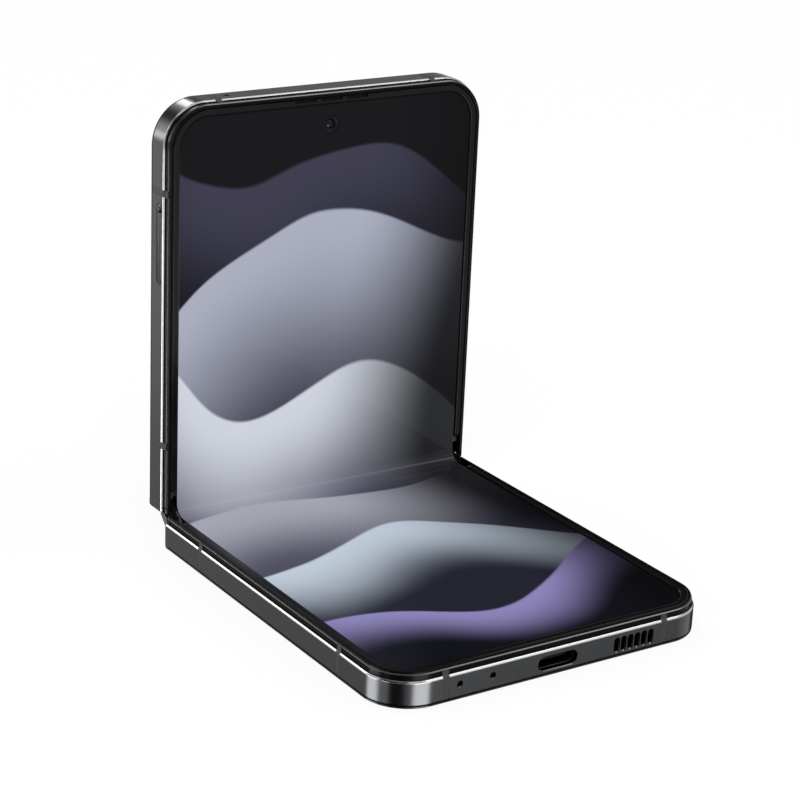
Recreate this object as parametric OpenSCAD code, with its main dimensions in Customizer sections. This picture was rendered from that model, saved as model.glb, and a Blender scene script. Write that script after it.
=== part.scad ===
// Foldable smartphone: two slim halves on a two-axis hinge, drawn with the upper half stood up.
// X runs across the width, Y towards the hinge, Z up. The origin is the middle of the lower half's underside.
// Each half is drawn flat as (x, s, v): s is the distance from its hinge end, v the height over its back glass.

/* [Body] */
// Width across both halves
width = 71.9; // [68:0.1:76]
// Length of one half
half_length = 82.5; // [78:0.1:88]
// Outer corner radius at the free ends
corner_r = 8.83; // [6:0.01:12]
// Height of the metal frame's upper edge
frame_top = 5.4; // [4.8:0.1:6]
// Height of the frame's flat side where the bright chamfer starts
side_top = 4.82; // [4.2:0.01:5.4]
// How far the chamfer leans in
chamfer_in = 0.4; // [0.1:0.05:0.8]
// Thickness of the frame's wall
wall = 1.15; // [0.9:0.05:1.6]
// Height of the raised rim round the display
rim_top = 6.9; // [6.5:0.05:7.3]
// Thickness of the back glass
glass = 0.6; // [0.4:0.05:0.8]

/* [Display] */
// Height of the display's face
display_top = 6.5; // [6.2:0.05:6.8]
// Thickness of the flexible display
display_thick = 0.4; // [0.2:0.05:0.6]
// Radius of the display's face in the fold
fold_r = 2.6; // [2:0.1:4]
// How far the display's sheet stops short of the frame's side
display_in = 1.55; // [1.4:0.05:2]
// Length of the open recess at each end of the hinge
recess = 4.65; // [3:0.05:6]
// Radius of the hole for the front camera
punch_r = 2; // [1.2:0.1:3]

/* [Hinge] */
// Distance between the two hinge axes
axis_gap = 2.16; // [1.6:0.02:3]
// Height of each half's axis
axis_height = 6.47; // [6:0.01:7]
// Gap between the two halves when flat
flat_gap = 0.1; // [0.05:0.05:0.4]
// Turn of each half from flat, as drawn
turn = 45; // [0:1:90]
// Depth of the spine's outer face below the axes
spine_depth = 3.65; // [3:0.05:4.2]
// Half width of the spine
spine_half = 5.5; // [4.5:0.1:5.5]
// Half length of the spine
spine_len = 33.9; // [32:0.1:34]
// Wall of the spine cover
spine_wall = 0.8; // [0.5:0.05:1]

/* [Ports] */
// Half the spacing of the antenna bands on the end faces
band_x = 24.3; // [20:0.1:27]
// Distance of the outer side bands from the free end
band_end = 17.2; // [12:0.1:22]
// Distance of the inner side bands from the hinge end
band_hinge = 14.2; // [10:0.1:18]
// Width of an antenna band
band_w = 1.35; // [0.8:0.05:2]
// Height of the ports' centre line
port_v = 2.6; // [2.3:0.05:3]
// Pitch of the speaker slots
slot_pitch = 1.565; // [1.4:0.005:1.8]
// Height of the side keys' centre line
key_v = 3.1; // [2.8:0.05:3.4]

/* [Hidden] */
$fn = 48;
w2 = width / 2;
axis_in = (axis_gap - flat_gap) / 2;
tilt = 2 * turn;
hinge_y = half_length / 2;
axis_a = [hinge_y - axis_in, axis_height];
axis_m = axis_a + axis_gap / 2 * [cos(turn), sin(turn)];
axis_b = axis_a + axis_gap * [cos(turn), sin(turn)];
upper_at = axis_b - [axis_in * cos(tilt) - axis_height * sin(tilt), axis_in * sin(tilt) + axis_height * cos(tilt)];
over = display_top - axis_height;
reach = (axis_gap / 2 - over * sin(turn)) / cos(turn);
fold_s = fold_r * tan(turn) - reach + axis_in;
fold_up = over * cos(turn) - reach * sin(turn) + fold_r / cos(turn);
sheet = display_top - display_thick;
plate_low = 5.9;
mid_low = 5.05;
mid_s = 6.6;
coil_v = 0.35;
cam_s = 71;
cams = [24, 9];
tray_s = 55.05;
tray_v = 3.65;
vol_s = 52.5;
pow_s = 32.5;
front_s = 75.6;
screws = [[-31, 10], [31, 10], [-31, 58.5], [31, 58.5], [-29.5, 78], [29.5, 78]];
up_screws = [[-31, 46], [31, 45], [-29.5, 65], [-12, 78], [31.2, 62.5], [29.5, 79.3]];
arm_w = 5;
ring_in = 1.7;
ring_out = 2.5;
gear_r = 0.9;
gear_q = 1.78;
gear_p = gear_r + 0.07;

function arc(cx, cy, r, a0, a1, n) =
    [for (i = [0:n]) [cx + r * cos(a0 + (a1 - a0) * i / n), cy + r * sin(a0 + (a1 - a0) * i / n)]];

frame_profile = concat(arc(0.85, 1.1, 0.85, 270, 180, 8),
    [[0, side_top], [chamfer_in, frame_top], [wall, frame_top], [wall, 1.25],
     [2.6, 1.25], [2.6, glass + 0.02], [0.95, glass + 0.02], [0.95, 0.25]]);
rim_profile = concat([[0.42, frame_top]], arc(1.02, rim_top - 0.6, 0.6, 180, 90, 8),
    [[1.2, rim_top - 0.05], [1.36, rim_top - 0.3], [1.36, plate_low], [1.25, plate_low], [1.25, frame_top]]);
bezel_profile = [[1.42, display_top], [1.42, 6.68], [1.56, 6.8], [2.38, 6.8], [2.6, 6.62], [2.6, display_top]];

module in_lower() {
    translate([0, hinge_y, 0]) mirror([0, 1, 0]) children();
}
module in_upper() {
    translate([0, upper_at[0], upper_at[1]]) rotate([tilt, 0, 0]) children();
}
module in_spine() {
    translate([0, axis_m[0], axis_m[1]]) rotate([turn, 0, 0]) children();
}
module along_x(x0, x1) {
    translate([x0, 0, 0]) rotate([90, 0, 90]) linear_extrude(x1 - x0) children();
}
module box(x0, x1, s0, s1, v0, v1) {
    translate([x0, s0, v0]) cube([x1 - x0, s1 - s0, v1 - v0]);
}
module slot2d(len, w) {
    square([len - w, w], center = true);
    for (k = [-1, 1]) translate([k * (len - w) / 2, 0]) circle(w / 2);
}
module side_slot(x0, x1, s, v, len, w) {
    translate([0, s, v]) along_x(x0, x1) slot2d(len, w);
}
module end_slot(s0, s1, x, v, len, w, up = 0) {
    translate([x, s1, v]) rotate([90, 0, 0]) linear_extrude(s1 - s0) rotate(up) slot2d(len, w);
}
module rbox(x0, x1, s0, s1, v0, v1, r) {
    translate([0, 0, v0]) linear_extrude(v1 - v0) {
        translate([x0 + r, s0]) square([x1 - x0 - 2 * r, s1 - s0]);
        translate([x0, s0 + r]) square([x1 - x0, s1 - s0 - 2 * r]);
        for (x = [x0 + r, x1 - r], s = [s0 + r, s1 - r]) translate([x, s]) circle(r);
    }
}
module post(x, s, v0, v1, r) {
    translate([x, s, v0]) cylinder(r = r, h = v1 - v0);
}
// The plan of a half, drawn in from its edge by u, from s0 to the free end.
module plan(u, s0) {
    r = corner_r - u;
    translate([-(w2 - u), s0]) square([2 * (w2 - u), half_length - u - r - s0]);
    translate([-(w2 - u - r), s0]) square([2 * (w2 - u - r), half_length - u - s0]);
    for (k = [-1, 1]) translate([k * (w2 - u - r), half_length - u - r]) circle(r);
}
module slab(u, s0, v0, v1) {
    translate([0, 0, v0]) linear_extrude(v1 - v0) plan(u, s0);
}
// Runs an edge profile up both sides and round the free end.
module sweep(pts, s0) {
    run = half_length - corner_r;
    for (k = [-1, 1]) {
        translate([k * w2, run, 0]) rotate([90, 0, 0])
            linear_extrude(run - s0) polygon([for (p = pts) [-k * p[0], p[1]]]);
        translate([k * (w2 - corner_r), run, 0]) rotate([0, 0, k > 0 ? 0 : 90])
            rotate_extrude(angle = 90) polygon([for (p = pts) [corner_r - p[0], p[1]]]);
    }
    translate([0, half_length, 0]) along_x(corner_r - w2, w2 - corner_r) polygon([for (p = pts) [-p[0], p[1]]]);
}
module bands(grow) {
    b = band_w / 2 + grow;
    for (k = [-1, 1], s = [band_hinge, half_length - band_end])
        box(k > 0 ? w2 - 1.6 : -w2 - 1, k > 0 ? w2 + 1 : 1.6 - w2, s - b, s + b, 1.26, 6);
    for (k = [-1, 1]) box(k * band_x - b, k * band_x + b, half_length - 1.6, half_length + 1, 1.26, 6);
}
module frame_blank() {
    sweep(frame_profile, 0);
    along_x(-w2 + 2, w2 - 2) polygon([[0.45, 0.25], [0.12, 0.45], [0, 0.8], [0, 1.1], [2.8, 1.1],
        [2.8, glass + 0.02], [1.35, glass + 0.02], [1.35, 0.25]]);
}
module half_frame() {
    difference() {
        frame_blank();
        bands(0);
    }
}
module half_bands() {
    intersection() {
        sweep(frame_profile, 0);
        bands(0);
    }
}
module half_rim() {
    sweep(rim_profile, 0.15);
}
module half_bezel() {
    sweep(bezel_profile, recess);
}
module half_glass() {
    difference() {
        slab(0.97, 1.37, 0, glass);
        for (k = [-1, 1]) box(k > 0 ? w2 - 0.97 : -w2, k > 0 ? w2 : 0.97 - w2, 0, 9, -1, 2);
    }
}
module half_mid(pts) {
    difference() {
        slab(wall + 0.02, mid_s, mid_low, frame_top);
        for (p = pts) post(p[0], p[1], 4, frame_top, 0.5);
    }
    slab(wall + 0.12, mid_s, frame_top, plate_low);
}
module half_plate() {
    slab(display_in, mid_s, plate_low, sheet);
}
module half_wing() {
    box(-32.6, 32.6, 2.4, mid_s, 5.72, plate_low);
    box(-34.5, 34.5, 3.3, mid_s, 5.72, plate_low);
}
module half_display(end_u) {
    difference() {
        union() {
            translate([0, 0, sheet]) linear_extrude(display_thick) plan(display_in, recess + 0.1);
            box(-32.95, 32.95, fold_s, recess + 0.1, sheet, display_top);
        }
        box(-w2, w2, half_length - end_u, half_length, 5, 7);
    }
}
module half_screws(pts) {
    for (p = pts) {
        post(p[0], p[1], 4.65, mid_low, 0.95);
        post(p[0], p[1], mid_low, frame_top - 0.15, 0.5);
    }
}
// An arm screwed under the middle plate, ending in a crescent centred on the half's own axis.
module crescent() {
    translate([axis_in, axis_height]) difference() {
        circle(ring_out);
        circle(ring_in);
        translate([-4, -0.87]) square([8, 4]);
        rotate(-60) translate([-4, -4]) square([4, 8]);
    }
}
module half_arm(x) {
    along_x(x - arm_w / 2, x + arm_w / 2) {
        crescent();
        translate([axis_in + 1.95, 4.6]) square([mid_s - 0.05 - axis_in - 1.95, 1]);
        translate([axis_in + 4.9, 4.05]) square([5.6, 1]);
    }
}

// Lower half
module lower_frame() {
    color("silver") in_lower() difference() {
        half_frame();
        end_slot(81, 83, 0, port_v, 8.7, 2.7);
        end_slot(73, half_length - wall, 0, port_v, 9.3, 3.52);
        for (i = [0:5]) end_slot(81, 83, 13.4 + slot_pitch * i, port_v, 2.8, 1.1, 90);
        for (x = [-21.33, -14.25]) end_slot(81, 83, x, 3.1, 0.76, 0.75);
    }
}
module lower_antenna_bands() {
    color("dimgray") in_lower() half_bands();
}
module lower_back_glass() {
    color("black") in_lower() half_glass();
}
module lower_rim() {
    color("#2a2a2c") in_lower() half_rim();
}
module lower_bezel() {
    color("#1c1c1e") in_lower() half_bezel();
}
module lower_mid_plate() {
    color("gray") in_lower() half_mid(screws);
}
module lower_display_plate() {
    color("lightgray") in_lower() half_plate();
}
module lower_wing_plate() {
    color("lightgray") in_lower() half_wing();
}
module display_lower() {
    color("#8c8ea4") in_lower() half_display(display_in);
}
module main_battery() {
    color("#3c3c42") in_lower() rbox(-29.5, 29.5, 12.5, 56.5, 1.1, mid_low, 1.5);
}
module charging_coil() {
    color("peru") in_lower() translate([0, 34, glass]) difference() {
        cylinder(r = 20.5, h = coil_v);
        translate([0, 0, -1]) cylinder(r = 11, h = 3);
    }
}
module usb_c_shell() {
    color("silver") in_lower() {
        difference() {
            end_slot(74, half_length - wall, 0, port_v, 9.24, 3.46);
            end_slot(74.4, 82, 0, port_v, 8.34, 2.56);
        }
    }
}
module usb_c_tongue() {
    color("#111111") in_lower() box(-3.34, 3.34, 74.4, 80.6, port_v - 0.35, port_v + 0.35);
}
module usb_board() {
    color("darkgreen") in_lower() difference() {
        box(-27, 8, 60, 80.8, 4.4, mid_low);
        for (p = screws) post(p[0], p[1], 4, 6, 1.2);
    }
}
module haptic_motor() {
    color("silver") in_lower() rbox(-26, -16, 61, 71, 1.3, 4.4, 1.5);
}
module loudspeaker() {
    color("#202020") in_lower() rbox(11.2, 23.6, 62, 80.9, 1.35, mid_low, 0.8);
}
module speaker_mesh() {
    color("#404040") in_lower() box(12.4, 22.3, 80.95, half_length - wall, 1.35, 4.2);
}
module bottom_microphones() {
    color("goldenrod") in_lower() for (x = [-21.33, -14.25])
        box(x - 1.3, x + 1.3, 79.6, half_length - wall, 2.5, 4.4);
}
module lower_hinge_arms() {
    color("lightslategray") in_lower() for (x = [-24, 24]) half_arm(x);
}
module lower_screws() {
    color("silver") in_lower() half_screws(screws);
}

// Hinge spine
module spine_section(grow) {
    r = 1.6;
    h = spine_half - grow;
    d = spine_depth - grow;
    polygon(concat([[h, -0.9]], arc(h - r, r - d, r, 0, -90, 8), arc(r - h, r - d, r, -90, -180, 8), [[-h, -0.9]]));
}
module spine_cover() {
    color("silver") in_spine() difference() {
        along_x(-spine_len, spine_len) spine_section(0);
        along_x(1 - spine_len, spine_len - 1) {
            spine_section(spine_wall);
            translate([spine_wall - spine_half, -1]) square([2 * (spine_half - spine_wall), 1]);
        }
        for (x = [-1, 1]) box(x * 24 - 2.8, x * 24 + 2.8, -6, -4, -2.4, 0);
        for (x = [-1, 1]) box(x * 17 - 2.8, x * 17 + 2.8, 4, 6, -2.4, 0);
    }
}
module hinge_end_caps() {
    color("#2c2c2e") in_spine() for (k = [-1, 1]) translate([k * 33.42, 0, 0])
        along_x(-0.45, 0.45) polygon([[-4.2, -0.9], [-2.2, -0.88], [-1.1, -0.5], [1.1, -0.5], [2.2, -0.88], [4.2, -0.9]]);
}
// A block with a round groove about one axis, in which a crescent slides between two cheeks.
module bracket(x) {
    difference() {
        along_x(x - 3.3, x + 3.3) translate([-3.1, -2.85]) square([6.2, 2.05]);
        along_x(x - 2.58, x + 2.58) {
            translate([-axis_gap / 2, 0]) difference() {
                circle(ring_out + 0.08);
                circle(ring_in - 0.08);
            }
            translate([-5, -2]) square([5 - axis_gap / 2 - 1.3, 3]);
        }
    }
}
module hinge_brackets() {
    color("slategray") in_spine() {
        for (x = [-24, 24]) bracket(x);
        for (x = [-17, 17]) mirror([0, 1, 0]) bracket(x);
    }
}
module gear_holders() {
    color("slategray") in_spine() difference() {
        for (k = [-1, 1]) box(k * 11 - 0.8, k * 11 + 0.8, -2.4, 2.4, -2.85, -0.8);
        for (p = [-gear_p, gear_p]) translate([0, p, -gear_q]) along_x(-20, 20) circle(0.48);
    }
}
// Two shafts with nine-tooth gears; a tooth of one faces a gap of the other.
module gear_shaft(p) {
    translate([0, p, -gear_q]) {
        along_x(-13, 13) circle(0.4);
        for (x = [-7, 7]) along_x(x - 1.6, x + 1.6)
            polygon([for (i = [0:71]) let (a = i * 5)
                (gear_r - 0.02 + 0.15 * cos(9 * a)) * [cos(a), sin(a)]]);
    }
}
module gear_shaft_a() {
    color("gainsboro") in_spine() gear_shaft(-gear_p);
}
module gear_shaft_b() {
    color("gainsboro") in_spine() gear_shaft(gear_p);
}
module torque_springs() {
    color("darkgray") in_spine() for (p = [-gear_p, gear_p]) translate([0, p, -gear_q])
        for (i = [-3:3]) along_x(i * 1.1 - 0.28, i * 1.1 + 0.28) difference() {
            circle(0.88);
            circle(0.5);
        }
}
module display_fold() {
    color("#6c6a86") in_spine() along_x(-32.95, 32.95) translate([0, fold_up]) intersection() {
        difference() {
            circle(fold_r + display_thick);
            circle(fold_r);
        }
        polygon([[0, 0], 6 * [-sin(turn), -cos(turn)], [0, -9], 6 * [sin(turn), -cos(turn)]]);
    }
}
module hinge_flex() {
    pts = [[-6.48, 3.04], [-3.9, -1.6], [-3.1, -2.4], [3.1, -2.4], [3.9, -1.6], [6.48, 3.04]];
    color("darkgoldenrod") in_spine() for (x = [-31.4, 29.4]) along_x(x, x + 2)
        polygon(concat(pts, [for (i = [5:-1:0]) [pts[i][0] * 0.97, pts[i][1] + 0.16]]));
}

// Upper half
module upper_frame() {
    color("silver") in_upper() difference() {
        half_frame();
        side_slot(-37, 1.3 - w2, tray_s, tray_v, 15.95, 2.3);
        side_slot(w2 - 1.3, 37, vol_s, key_v, 17.2, 2.7);
        side_slot(w2 - 1.3, 37, pow_s, key_v, 13.2, 2.7);
        translate([-21.1, 83, 2.5]) rotate([90, 0, 0]) cylinder(r = 0.5, h = 2);
    }
}
module upper_antenna_bands() {
    color("dimgray") in_upper() half_bands();
}
module upper_back_glass() {
    color("black") in_upper() difference() {
        half_glass();
        for (x = cams) post(x, cam_s, -1, 2, 5.6);
        post(16.5, cam_s - 10.2, -1, 2, 1.5);
    }
}
module upper_rim() {
    color("#2a2a2c") in_upper() half_rim();
}
module upper_bezel() {
    color("#1c1c1e") in_upper() difference() {
        half_bezel();
        for (x = [-5.9, 0, 5.9]) translate([x, half_length - 1.72, 6]) linear_extrude(2) slot2d(4.9, 0.45);
    }
}
module upper_mid_plate() {
    color("gray") in_upper() difference() {
        half_mid(up_screws);
        post(0, front_s, 4, 7, punch_r + 0.05);
    }
}
module upper_display_plate() {
    color("lightgray") in_upper() difference() {
        half_plate();
        post(0, front_s, 4, 7, punch_r + 0.05);
        box(-w2, w2, half_length - 2.1, half_length, 5, 7);
    }
}
module upper_wing_plate() {
    color("lightgray") in_upper() half_wing();
}
module display_upper() {
    color("#8c8ea4") in_upper() difference() {
        half_display(2.1);
        post(0, front_s, 4, 7, punch_r);
    }
}
module cover_display() {
    color("#101014") in_upper() rbox(-30.5, 30.5, 4.5, 59, glass, 1, 4);
}
module upper_battery() {
    color("#3c3c42") in_upper() rbox(-29.5, 29.5, 12.5, 43.5, 1.1, mid_low, 1.5);
}
module main_board() {
    color("darkgreen") in_upper() {
        difference() {
            box(-20.5, 1.5, 45.5, 79, 2.9, 3.6);
            post(up_screws[3][0], up_screws[3][1], 2, 6, 1.4);
        }
        box(1.5, 30, 45.5, 60.5, 2.9, 3.6);
    }
}
module shield_cans() {
    color("silver") in_upper() {
        rbox(-19.5, 0.5, 47, 58, 3.6, 4.9, 0.6);
        rbox(-19.5, 0.5, 60, 72.2, 3.6, 4.9, 0.6);
        rbox(4, 28, 47, 59.5, 3.6, 4.9, 0.6);
        rbox(-19.5, 0.5, 50, 72, 1.5, 2.9, 0.6);
    }
}
module sim_socket() {
    color("silver") in_upper() difference() {
        box(-33.7, -21, 48, 62.2, tray_v - 0.75, tray_v + 0.75);
        box(-34, -21.4, 48.3, 61.9, tray_v - 0.55, tray_v + 0.55);
    }
}
module sim_tray() {
    color("silver") in_upper() {
        difference() {
            union() {
                side_slot(-w2, 1.1 - w2, tray_s, tray_v, 15.8, 2.15);
                box(1.1 - w2, -21.8, 48.6, 61.3, tray_v - 0.4, tray_v + 0.4);
            }
            translate([-37, 61.6, tray_v]) rotate([0, 90, 0]) cylinder(r = 0.5, h = 3);
            box(-32.2, -22.9, 49.2, 60.6, tray_v - 0.2, 5);
        }
    }
}
module nano_sim_card() {
    color("gold") in_upper() box(-31.9, -23.1, 49.3, 60.5, tray_v - 0.2, tray_v + 0.4);
}
module side_key(s, len, out) {
    side_slot(34.72, w2 + out, s, key_v, len, 2.5);
    side_slot(34.1, 34.72, s, key_v, len + 1.4, 3.3);
}
module volume_key() {
    color("silver") in_upper() side_key(vol_s, 17, 0.35);
}
module power_key() {
    color("silver") in_upper() side_key(pow_s, 13, 0.05);
}
module side_switches() {
    color("peru") in_upper() {
        box(32.5, 33.1, 26.5, 60.5, 1.5, 4.7);
        for (s = [vol_s - 5, vol_s + 5, pow_s]) translate([33.1, s, key_v]) rotate([0, 90, 0]) cylinder(r = 1.2, h = 0.7);
    }
}
module front_camera() {
    color("#0a0a10") in_upper() {
        post(0, front_s, 4.9, display_top - 0.05, punch_r - 0.1);
        box(-3, 3, front_s - 3, front_s + 3, 3.6, 4.9);
    }
}
module earpiece() {
    color("#202020") in_upper() box(-7, 7, 79.05, half_length - wall - 0.1, 3.2, mid_low);
}
module earpiece_mesh() {
    color("#404040") in_upper() box(-9.4, 9.4, half_length - 2.05, half_length - 1.4, 6.15, 6.35);
}
module top_microphone() {
    color("goldenrod") in_upper() box(-22.6, -19.6, 79.2, half_length - wall, 1.7, 3.6);
}
module rear_cameras() {
    color("#101014") in_upper() for (x = cams) {
        post(x, cam_s, 0.2, 3.5, 5.1);
        box(x - 5.4, x + 5.4, cam_s - 5.4, cam_s + 5.4, 3.5, mid_low);
    }
}
module camera_rings() {
    color("silver") in_upper() for (x = cams) translate([x, cam_s, -1.1]) difference() {
        union() {
            cylinder(r = 6.3, h = 1.1);
            cylinder(r = 5.5, h = 1.6);
        }
        translate([0, 0, -1]) cylinder(r = 5.15, h = 4);
    }
}
module camera_glasses() {
    color("black") in_upper() for (x = cams) post(x, cam_s, -0.95, -0.35, 5.12);
}
module camera_flash() {
    color("lightyellow") in_upper() post(16.5, cam_s - 10.2, 0, 1.4, 1.45);
}
module upper_hinge_arms() {
    color("lightslategray") in_upper() for (x = [-17, 17]) half_arm(x);
}
module upper_screws() {
    color("silver") in_upper() half_screws(up_screws);
}

lower_frame();
lower_antenna_bands();
lower_back_glass();
lower_rim();
lower_bezel();
lower_mid_plate();
lower_display_plate();
lower_wing_plate();
display_lower();
main_battery();
charging_coil();
usb_c_shell();
usb_c_tongue();
usb_board();
haptic_motor();
loudspeaker();
speaker_mesh();
bottom_microphones();
lower_hinge_arms();
lower_screws();
spine_cover();
hinge_end_caps();
hinge_brackets();
gear_holders();
gear_shaft_a();
gear_shaft_b();
torque_springs();
display_fold();
hinge_flex();
upper_frame();
upper_antenna_bands();
upper_back_glass();
upper_rim();
upper_bezel();
upper_mid_plate();
upper_display_plate();
upper_wing_plate();
display_upper();
cover_display();
upper_battery();
main_board();
shield_cans();
sim_socket();
sim_tray();
nano_sim_card();
volume_key();
power_key();
side_switches();
front_camera();
earpiece();
earpiece_mesh();
top_microphone();
rear_cameras();
camera_rings();
camera_glasses();
camera_flash();
upper_hinge_arms();
upper_screws();
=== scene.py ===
import math
import bmesh
import bpy
from mathutils import Matrix, Vector


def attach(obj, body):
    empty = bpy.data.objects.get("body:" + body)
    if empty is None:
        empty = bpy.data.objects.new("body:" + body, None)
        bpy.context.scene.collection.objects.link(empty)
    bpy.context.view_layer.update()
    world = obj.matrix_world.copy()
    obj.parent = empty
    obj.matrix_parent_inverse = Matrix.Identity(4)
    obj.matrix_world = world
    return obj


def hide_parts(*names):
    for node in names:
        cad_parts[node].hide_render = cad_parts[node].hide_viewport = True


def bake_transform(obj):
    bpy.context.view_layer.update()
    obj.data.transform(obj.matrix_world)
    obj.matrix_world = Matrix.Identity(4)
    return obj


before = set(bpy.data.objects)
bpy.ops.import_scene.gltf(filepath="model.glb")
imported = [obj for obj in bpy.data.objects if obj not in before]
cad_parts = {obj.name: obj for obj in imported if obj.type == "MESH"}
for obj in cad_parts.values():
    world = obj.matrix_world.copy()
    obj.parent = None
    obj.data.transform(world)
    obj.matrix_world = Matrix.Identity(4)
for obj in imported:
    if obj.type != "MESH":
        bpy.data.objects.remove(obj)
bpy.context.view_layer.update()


# --- Studio ---
# A white surround with soft lamps, and bright strips and dark flags that only
# gloss sees, as round a product table. The camera comes first.
def bearing(azimuth, elevation):
    a, e = math.radians(azimuth), math.radians(elevation)
    return Vector((math.cos(a) * math.cos(e), math.sin(a) * math.cos(e), math.sin(e)))


def placed(name, data):
    """A new object in the scene."""
    made = bpy.data.objects.new(name, data)
    bpy.context.collection.objects.link(made)
    return made


camera = placed("camera", bpy.data.cameras.new("camera"))
view_back = bearing(-90 - 33.861947, 19.859221)
view_side = (-view_back).cross(Vector((0, 0, 1))).normalized()
view_rise = view_side.cross(-view_back)
roll = math.radians(2.488752)
view_x = math.cos(roll) * view_side + math.sin(roll) * view_rise
view_y = math.cos(roll) * view_rise - math.sin(roll) * view_side
camera.matrix_world = (Matrix.Translation((-0.24021, -0.344745, 0.190342))
                       @ Matrix((view_x, view_y, view_back)).transposed().to_4x4())
camera.data.sensor_width = 36
camera.data.lens = 106.968
camera.data.clip_start = 0.01
bpy.context.scene.camera = camera
bpy.context.scene.view_settings.view_transform = "Standard"


def fill(made, feeds):
    """Gives a node's sockets what feeds names: a link from another socket, or a plain value."""
    for socket, value in feeds.items():
        if isinstance(value, bpy.types.NodeSocket):
            made.id_data.links.new(value, made.inputs[socket])
        else:
            made.inputs[socket].default_value = value
    return made


def node(tree, kind, feeds={}, **settings):
    """Adds a node to a shader or geometry tree."""
    known = tree.bl_idname == "GeometryNodeTree" and hasattr(bpy.types, "GeometryNode" + kind)
    made = tree.nodes.new(("GeometryNode" if known else "ShaderNode") + kind)
    for key, value in settings.items():
        setattr(made, key, value)
    return fill(made, feeds)


def output(tree, kind, feeds={}, **settings):
    """Adds a node and gives its first output."""
    return node(tree, kind, feeds, **settings).outputs[0]


def maths(tree, operation, a, b=0.0, c=0.0):
    return output(tree, "Math", {0: a, 1: b, 2: c}, operation=operation)


def seen_directly(tree):
    """1 for what the camera, gloss or glass sees, 0 for light that falls on things."""
    path = node(tree, "LightPath").outputs
    outside = maths(tree, "MAXIMUM", path["Is Camera Ray"], path["Is Glossy Ray"])
    return maths(tree, "MAXIMUM", outside, path["Is Transmission Ray"])


surround = bpy.data.worlds.new("white_surround")
bpy.context.scene.world = surround
surround.use_nodes = True
tree = surround.node_tree
fill(tree.nodes["Background"], {
    "Color": (1, 1, 1, 1), "Strength": maths(tree, "MULTIPLY_ADD", seen_directly(tree), 0.5, 0.5)})


def quad(name, corners, material):
    mesh = bpy.data.meshes.new(name)
    mesh.from_pydata(corners, [], [(0, 1, 2, 3)])
    mesh.materials.append(material)
    made = placed(name, mesh)
    return made


table_white = bpy.data.materials.new("table_white")
table_white.use_nodes = True
tree = table_white.node_tree
tree.nodes.clear()
matt = node(tree, "BsdfDiffuse", {"Color": (0.95, 0.95, 0.95, 1)})
glow = node(tree, "Emission", {"Color": (1, 1, 1, 1), "Strength": 1.0})
both = node(tree, "MixShader", {0: maths(tree, "MULTIPLY", seen_directly(tree), 0.88),
                                1: matt.outputs[0], 2: glow.outputs[0]})
node(tree, "OutputMaterial", {0: both.outputs[0]})
table = quad("table", [(x, y, -0.00005) for x, y in ((-20, -20), (20, -20), (20, 20), (-20, 20))], table_white)
table.visible_glossy = False


def card(name, azimuth, elevation, wide, tall, level, away):
    """A flat card that only gloss sees, bright or near 0; its place and size are in degrees."""
    skin = bpy.data.materials.new(name)
    skin.use_nodes = True
    skin.node_tree.nodes.clear()
    lit = node(skin.node_tree, "Emission", {"Color": (1, 1, 1, 1), "Strength": level})
    node(skin.node_tree, "OutputMaterial", {0: lit.outputs[0]})
    out = bearing(azimuth, elevation)
    across = Vector((0, 0, 1)).cross(out).normalized() * away * math.tan(math.radians(wide / 2))
    up = out.cross(across).normalized() * away * math.tan(math.radians(tall / 2))
    middle = Vector((0, 0.02, 0.04)) + out * away
    made = quad(name, [middle + across * i + up * j for i, j in ((-1, -1), (1, -1), (1, 1), (-1, 1))], skin)
    made.visible_camera = made.visible_diffuse = made.visible_transmission = made.visible_shadow = False
    return made


for name, azimuth, elevation, wide, tall, level, away in (
        ("flag_behind", 55, 25, 46, 34, 0.03, 4.0),
        ("flag_front_corner", -142, -26, 34, 20, 0.03, 4.0),
        ("flag_right", 40, -26, 60, 44, 0.02, 4.0),
        ("flag_corner_side", -148, 12, 64, 44, 0.04, 4.0),
        ("flag_low_behind", 78, -28, 34, 30, 0.03, 3.95),
        ("flag_top_corner", 106, 25, 19, 19, 0.02, 3.9),
        ("flag_round_corner", -150, 48, 60, 26, 0.05, 4.0),
        ("flag_under", 0, -90, 112, 112, 0.02, 4.0),
        ("shade_left", 113, -27, 24, 14, 0.5, 4.0),
        ("shade_top", 58, 10, 34, 16, 0.38, 4.0),
        ("line_left", 123, -60, 34, 4, 1.5, 3.9),
        ("line_front", -54, -60, 60, 4, 1.5, 3.9),
        ("box_high", -38, 47, 44, 12, 6.5, 3.8),
        ("chamfer_front", -53, 27, 34, 12, 2.3, 3.7),
        ("strip_left", 158, -26, 27, 24, 8.5, 3.8),
        ("strip_front", -84, -26, 34, 24, 9.3, 3.8),
        ("strip_top", 121, 4, 8, 9, 9.0, 3.8),
        ("strip_back", 78, 28, 10, 8, 12.0, 3.8),
        ("chamfer_lower_left", 129, 20, 24, 20, 3.4, 4.0),
        ("chamfer_upper_left", -167, -17, 16, 14, 3.6, 4.0),
        ("chamfer_top", -5, 62, 34, 12, 2.1, 3.7)):
    card(name, azimuth, elevation, wide, tall, level, away)


def lamp(name, azimuth, elevation, away, size, watts):
    light = bpy.data.lights.new(name, "AREA")
    light.size, light.energy = size, watts
    made = placed(name, light)
    made.location = bearing(azimuth, elevation) * away
    made.rotation_euler = bearing(azimuth, elevation).to_track_quat("Z", "Y").to_euler()
    made.visible_glossy = False
    return made


lamp("key_lamp", -130, 48, 1.6, 1.0, 12)
lamp("fill_lamp", -20, 35, 1.6, 1.0, 6)
lamp("back_lamp", 100, 55, 1.6, 1.0, 6)


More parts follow.
